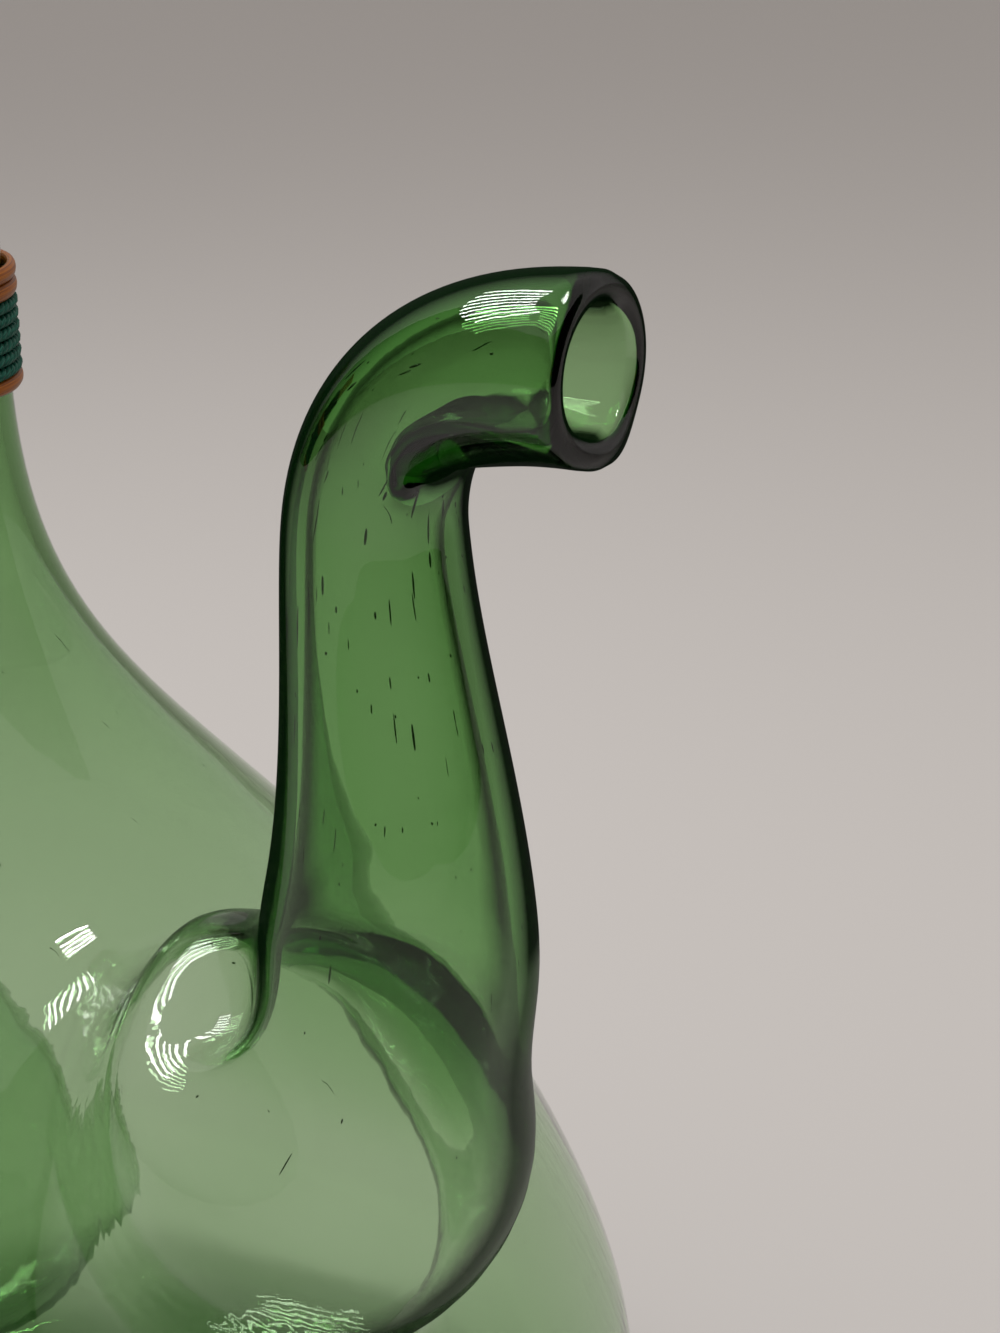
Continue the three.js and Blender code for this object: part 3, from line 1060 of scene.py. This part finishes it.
# Fibres that run along a piece, by its own UV map: U is its length in metres, V goes round it.
def fibreGroup():
    group = bpy.data.node_groups.new("fibres", "ShaderNodeTree")
    for name in ("Along", "Around"):
        group.interface.new_socket(name=name, in_out="INPUT", socket_type="NodeSocketFloat")
    group.interface.new_socket(name="Fibre", in_out="OUTPUT", socket_type="NodeSocketFloat")
    nodes, links = group.nodes, group.links
    inlet, outlet = nodes.new("NodeGroupInput"), nodes.new("NodeGroupOutput")
    place, split, spot = (addNode(nodes, kind) for kind in ("TexCoord", "SeparateXYZ", "CombineXYZ"))
    turn, length, width, height = (mathNode(nodes, "MULTIPLY") for count in range(4))
    turn.inputs[1].default_value = 2 * math.pi
    cosine, sine = mathNode(nodes, "COSINE"), mathNode(nodes, "SINE")
    grain = addNode(nodes, "TexNoise", Scale=1, Detail=4)
    wire(
        links,
        (place, "UV", split, "Vector"),
        (split, "X", length, 0),
        (inlet, "Along", length, 1),
        (split, "Y", turn, 0),
        (turn, "Value", cosine, 0),
        (turn, "Value", sine, 0),
        (cosine, "Value", width, 0),
        (inlet, "Around", width, 1),
        (sine, "Value", height, 0),
        (inlet, "Around", height, 1),
        (length, "Value", spot, "X"),
        (width, "Value", spot, "Y"),
        (height, "Value", spot, "Z"),
        (spot, "Vector", grain, "Vector"),
        (grain, "Fac", outlet, "Fibre"),
    )
    return group


fibres = fibreGroup()


def fibreMaterial(name, look):
    material, nodes, links, shader = newMaterial(name)
    grain = nodes.new("ShaderNodeGroup")
    grain.node_tree = fibres
    grain.inputs["Along"].default_value = look["along"]
    grain.inputs["Around"].default_value = look["around"]
    tone = colourRamp(nodes, (0.3, look["dark"]), (0.5, look["middle"]), (0.72, look["pale"]))
    gloss = addNode(nodes, "MapRange", **{"To Min": look["roughness"][0], "To Max": look["roughness"][1]})
    bump = addNode(nodes, "Bump", Strength=look["bump"], Distance=0.2 * mm)
    wire(
        links,
        (grain, "Fibre", tone, "Fac"),
        (grain, "Fibre", gloss, "Value"),
        (grain, "Fibre", bump, "Height"),
        (tone, "Color", shader, "Base Color"),
        (gloss, "Result", shader, "Roughness"),
        (bump, "Normal", shader, "Normal"),
    )
    shader.inputs["Coat Weight"].default_value = look["coat"]
    shader.inputs["Coat Roughness"].default_value = 0.15
    shader.inputs["Specular IOR Level"].default_value = 0.25
    return material


caneLook = {
    "along": 60,
    "around": 5,
    "dark": (0.08, 0.018, 0.001, 1),
    "middle": (0.25, 0.066, 0.002, 1),
    "pale": (0.40, 0.13, 0.008, 1),
    "roughness": (0.28, 0.5),
    "bump": 0.5,
    "coat": 0.04,
}

cordLook = {
    "along": 900,
    "around": 3,
    "dark": (0.002, 0.038, 0.024, 1),
    "middle": (0.004, 0.085, 0.055, 1),
    "pale": (0.02, 0.15, 0.1, 1),
    "roughness": (0.45, 0.7),
    "bump": 0.6,
    "coat": 0.05,
}

caneMaterial = fibreMaterial("varnished_cane", caneLook)
cordMaterial = fibreMaterial("dyed_cord", cordLook)


def addBinding():
    shape = bindingShape
    foot = shape["foot"]
    lower = caneStrip("cane_strip_low", shape["lowerCane"], foot)
    foot += shape["lowerCane"]["turns"] * shape["lowerCane"]["pitch"]
    cord = twistedCord("teal_cord", shape["cord"], foot)
    foot += shape["cord"]["turns"] * shape["cord"]["pitch"]
    upper = caneStrip("cane_strip_high", shape["upperCane"], foot)
    foot += shape["upperCane"]["turns"] * shape["upperCane"]["pitch"]
    ring = carryingRing(shape["foot"], foot)
    for piece, node, material, slot in (
        (lower, "lower_cane_winding", caneMaterial, "cane"),
        (cord, "green_cord_winding", cordMaterial, "dyed_cord"),
        (upper, "upper_cane_winding", caneMaterial, "cane"),
        (ring, "cane_carrying_ring", caneMaterial, "cane"),
    ):
        setMaterial(piece, material)
        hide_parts(node)
        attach(piece, "vessel")


addBinding()
report("cane and cord")


corkShape = {
    "sides": 48,
    "seat": 22 * mm,
    "stand": 11 * mm,
    "radius": 9.1 * mm,
    "taper": 0.045,
    "edge": 0.9 * mm,
    "insets": 4,
    "inset": 1.8 * mm,
    "cuts": 18,
    "pit": 0.66 * mm,
    "pitFrom": 0.12,
    "pores": ((420, 0.6), (1100, 0.4)),
}


def corkStopper():
    shape = corkShape
    low = bodyShape["neckTop"] - shape["seat"]
    high = bodyShape["neckTop"] + shape["stand"]
    foot = shape["radius"] - shape["seat"] * shape["taper"]
    head = shape["radius"] + shape["stand"] * shape["taper"]
    deselectAll()
    bpy.ops.mesh.primitive_cylinder_add(
        vertices=shape["sides"], radius=head, depth=high - low, end_fill_type="NGON",
        location=(0, 0, (low + high) / 2),
    )
    cork = bpy.context.object
    cork.name = cork.data.name = "tapered_cork"
    bpy.ops.object.transform_apply(location=True)
    bpy.ops.object.mode_set(mode="EDIT")
    bpy.ops.mesh.select_all(action="DESELECT")
    mesh = bmesh.from_edit_mesh(cork.data)
    for vertex in mesh.verts:
        vertex.select_set(vertex.co.z < (low + high) / 2)
    mesh.select_flush(True)
    bmesh.update_edit_mesh(cork.data)
    bpy.ops.transform.resize(value=(foot / head, foot / head, 1), center_override=(0, 0, low))
    bpy.ops.mesh.select_all(action="DESELECT")
    mesh = bmesh.from_edit_mesh(cork.data)
    for edge in mesh.edges:
        edge.select_set(abs(edge.verts[0].co.z - edge.verts[1].co.z) < 1e-6)
    bmesh.update_edit_mesh(cork.data)
    bpy.ops.mesh.bevel(offset=shape["edge"], segments=3, profile=0.6)
    mesh = bmesh.from_edit_mesh(cork.data)
    for face in mesh.faces:
        face.select_set(len(face.verts) > 8)
    bmesh.update_edit_mesh(cork.data)
    for step in range(shape["insets"]):
        bpy.ops.mesh.inset(thickness=shape["inset"], depth=0)
    bpy.ops.mesh.select_all(action="DESELECT")
    mesh = bmesh.from_edit_mesh(cork.data)
    for edge in mesh.edges:
        edge.select_set(abs(edge.verts[0].co.z - edge.verts[1].co.z) > (high - low) / 2)
    bmesh.update_edit_mesh(cork.data)
    bpy.ops.mesh.subdivide(number_cuts=shape["cuts"])
    bpy.ops.object.mode_set(mode="OBJECT")
    soften(cork)
    finishModifiers(cork)
    for vertex in cork.data.vertices:
        pore = sum(noise.noise(vertex.co * scale) * weight for scale, weight in shape["pores"])
        vertex.co -= vertex.normal * shape["pit"] * max(pore - shape["pitFrom"], 0)
    bpy.ops.object.shade_smooth()
    return cork


corkLook = {
    "stretch": (1, 1, 0.45),
    "grain": 260,
    "cells": 520,
    "tones": ((0.33, (0.30, 0.16, 0.07, 1)), (0.62, (0.66, 0.45, 0.26, 1))),
    "pores": ((0.10, (0.10, 0.05, 0.025, 1)), (0.26, (1, 1, 1, 1))),
    "poreShare": 0.85,
    "bump": 0.7,
    "roughness": 0.85,
}


def corkMaterial():
    look = corkLook
    material, nodes, links, shader = newMaterial("natural_cork")
    shader.inputs["Roughness"].default_value = look["roughness"]
    place = addNode(nodes, "TexCoord")
    stretch = addNode(nodes, "Mapping", Scale=look["stretch"])
    grain = addNode(nodes, "TexNoise", Scale=look["grain"], Detail=6)
    cells = addNode(nodes, "TexVoronoi", Scale=look["cells"])
    tone = colourRamp(nodes, *look["tones"])
    pores = colourRamp(nodes, *look["pores"])
    blend = nodes.new("ShaderNodeMix")
    blend.data_type = "RGBA"
    blend.blend_type = "MULTIPLY"
    blend.inputs["Factor"].default_value = look["poreShare"]
    bump = addNode(nodes, "Bump", Strength=look["bump"], Distance=0.3 * mm)
    wire(
        links,
        (place, "Object", stretch, "Vector"),
        (stretch, "Vector", grain, "Vector"),
        (stretch, "Vector", cells, "Vector"),
        (grain, "Fac", tone, "Fac"),
        (cells, "Distance", pores, "Fac"),
        (tone, "Color", blend, "A"),
        (pores, "Color", blend, "B"),
        (blend, "Result", shader, "Base Color"),
        (cells, "Distance", bump, "Height"),
        (bump, "Normal", shader, "Normal"),
    )
    return material


cork = corkStopper()
setMaterial(cork, corkMaterial())
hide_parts("cork_stopper")
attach(cork, "stopper")
report("cork")


def plainMaterial(name, colour):
    material, nodes, links, shader = newMaterial(name)
    shader.inputs["Base Color"].default_value = (*colour, 1)
    shader.inputs["Roughness"].default_value = 0.9
    shader.inputs["Specular IOR Level"].default_value = 0.1
    return material


def addPlane(name, size, material):
    deselectAll()
    bpy.ops.mesh.primitive_plane_add(size=size)
    plane = bpy.context.object
    plane.name = name
    setMaterial(plane, material)
    return plane


# Direction at a turn about Z and a climb from level, in degrees.
def heading(turn, climb=0):
    turn, climb = math.radians(turn), math.radians(climb)
    return Vector((math.cos(climb) * math.cos(turn), math.cos(climb) * math.sin(turn), math.sin(climb)))


def addLamp(name, place, aim, size, watts):
    lamp = bpy.data.lights.new(name, "AREA")
    lamp.shape = "RECTANGLE"
    lamp.size, lamp.size_y = size
    lamp.energy = watts
    holder = bpy.data.objects.new(name, lamp)
    scene.collection.objects.link(holder)
    holder.location = place
    holder.rotation_euler = (aim - place).to_track_quat("-Z", "Y").to_euler()


room = {
    "floorSize": 24,
    "floor": (0.55, 0.525, 0.505),
    "light": (0.60, 0.57, 0.55, 1),
    "strength": 0.86,
}
floor = addPlane("floor", room["floorSize"], plainMaterial("floor_paper", room["floor"]))
floor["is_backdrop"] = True
world = bpy.data.worlds.new("room")
scene.world = world
world.use_nodes = True
sky = world.node_tree.nodes["Background"]
sky.inputs["Color"].default_value = room["light"]
sky.inputs["Strength"].default_value = room["strength"]

# Lamps in thin strips, since the glass shows each one: a row overhead and a slatted blind.
overhead = {
    "slats": 5,
    "middle": (0.12, 0.05, 1.6),
    "spacing": 0.09,
    "size": (0.02, 0.26),
    "watts": 1.7,
}
for number in range(overhead["slats"]):
    across = (number - (overhead["slats"] - 1) / 2) * overhead["spacing"]
    place = Vector(overhead["middle"]) + Vector((across, 0, 0))
    addLamp(f"overhead_slat_{number}", place, Vector((place.x, place.y, 0)), overhead["size"], overhead["watts"])

blind = {
    "slats": 9,
    "turns": (170, 214),
    "climb": 47,
    "aim": (0.12, 0, 0.25),
    "distance": 1.1,
    "size": (0.026, 0.32),
    "watts": 0.48,
}
for number in range(blind["slats"]):
    way = heading(between(*blind["turns"], number / (blind["slats"] - 1)), blind["climb"])
    aim = Vector(blind["aim"])
    addLamp(f"window_slat_{number}", aim + way * blind["distance"], aim, blind["size"], blind["watts"])

# Upright black cards on the open side of the room, which only reflections in the glass show.
darkCards = {
    "turns": (20, -35, -90, -145),
    "distance": 1.4,
    "height": 0.78,
    "size": 1.5,
    "colour": (0.01, 0.01, 0.01),
}
for number, turn in enumerate(darkCards["turns"]):
    name = f"dark_card_{number}"
    card = addPlane(name, darkCards["size"], plainMaterial(name, darkCards["colour"]))
    card.location = heading(turn) * darkCards["distance"] + Vector((0, 0, darkCards["height"]))
    card.rotation_euler = (-heading(turn)).to_track_quat("Z", "Y").to_euler()
    bpy.ops.object.transform_apply(location=True, rotation=True)
    card.visible_camera = card.visible_shadow = card.visible_diffuse = card.visible_transmission = False
    card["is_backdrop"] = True

photoView = {
    "place": (308.2 * mm, -243.5 * mm, 365.8 * mm),
    "turn": math.radians(38),
    "down": 0.3867,
    "sensor": 36,
    "lens": 64.8,
}


def addCamera():
    view = photoView
    lens = bpy.data.cameras.new("photo_view")
    lens.sensor_width = view["sensor"]
    lens.lens = view["lens"]
    holder = bpy.data.objects.new("photo_view", lens)
    scene.collection.objects.link(holder)
    level = math.cos(view["down"])
    ahead = Vector((-level * math.sin(view["turn"]), level * math.cos(view["turn"]), -math.sin(view["down"])))
    holder.location = turnedSpout(Vector(view["place"]))
    holder.rotation_euler = turnedSpout(ahead).to_track_quat("-Z", "Y").to_euler()
    scene.camera = holder


addCamera()
scene.view_settings.view_transform = "Standard"
scene.cycles.max_bounces = 28
scene.cycles.transmission_bounces = 28
scene.cycles.transparent_max_bounces = 40
scene.cycles.caustics_reflective = False
scene.cycles.caustics_refractive = False

[[[round(value, 6) for value in corner] for corner in box] for box in (cadBox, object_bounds())]
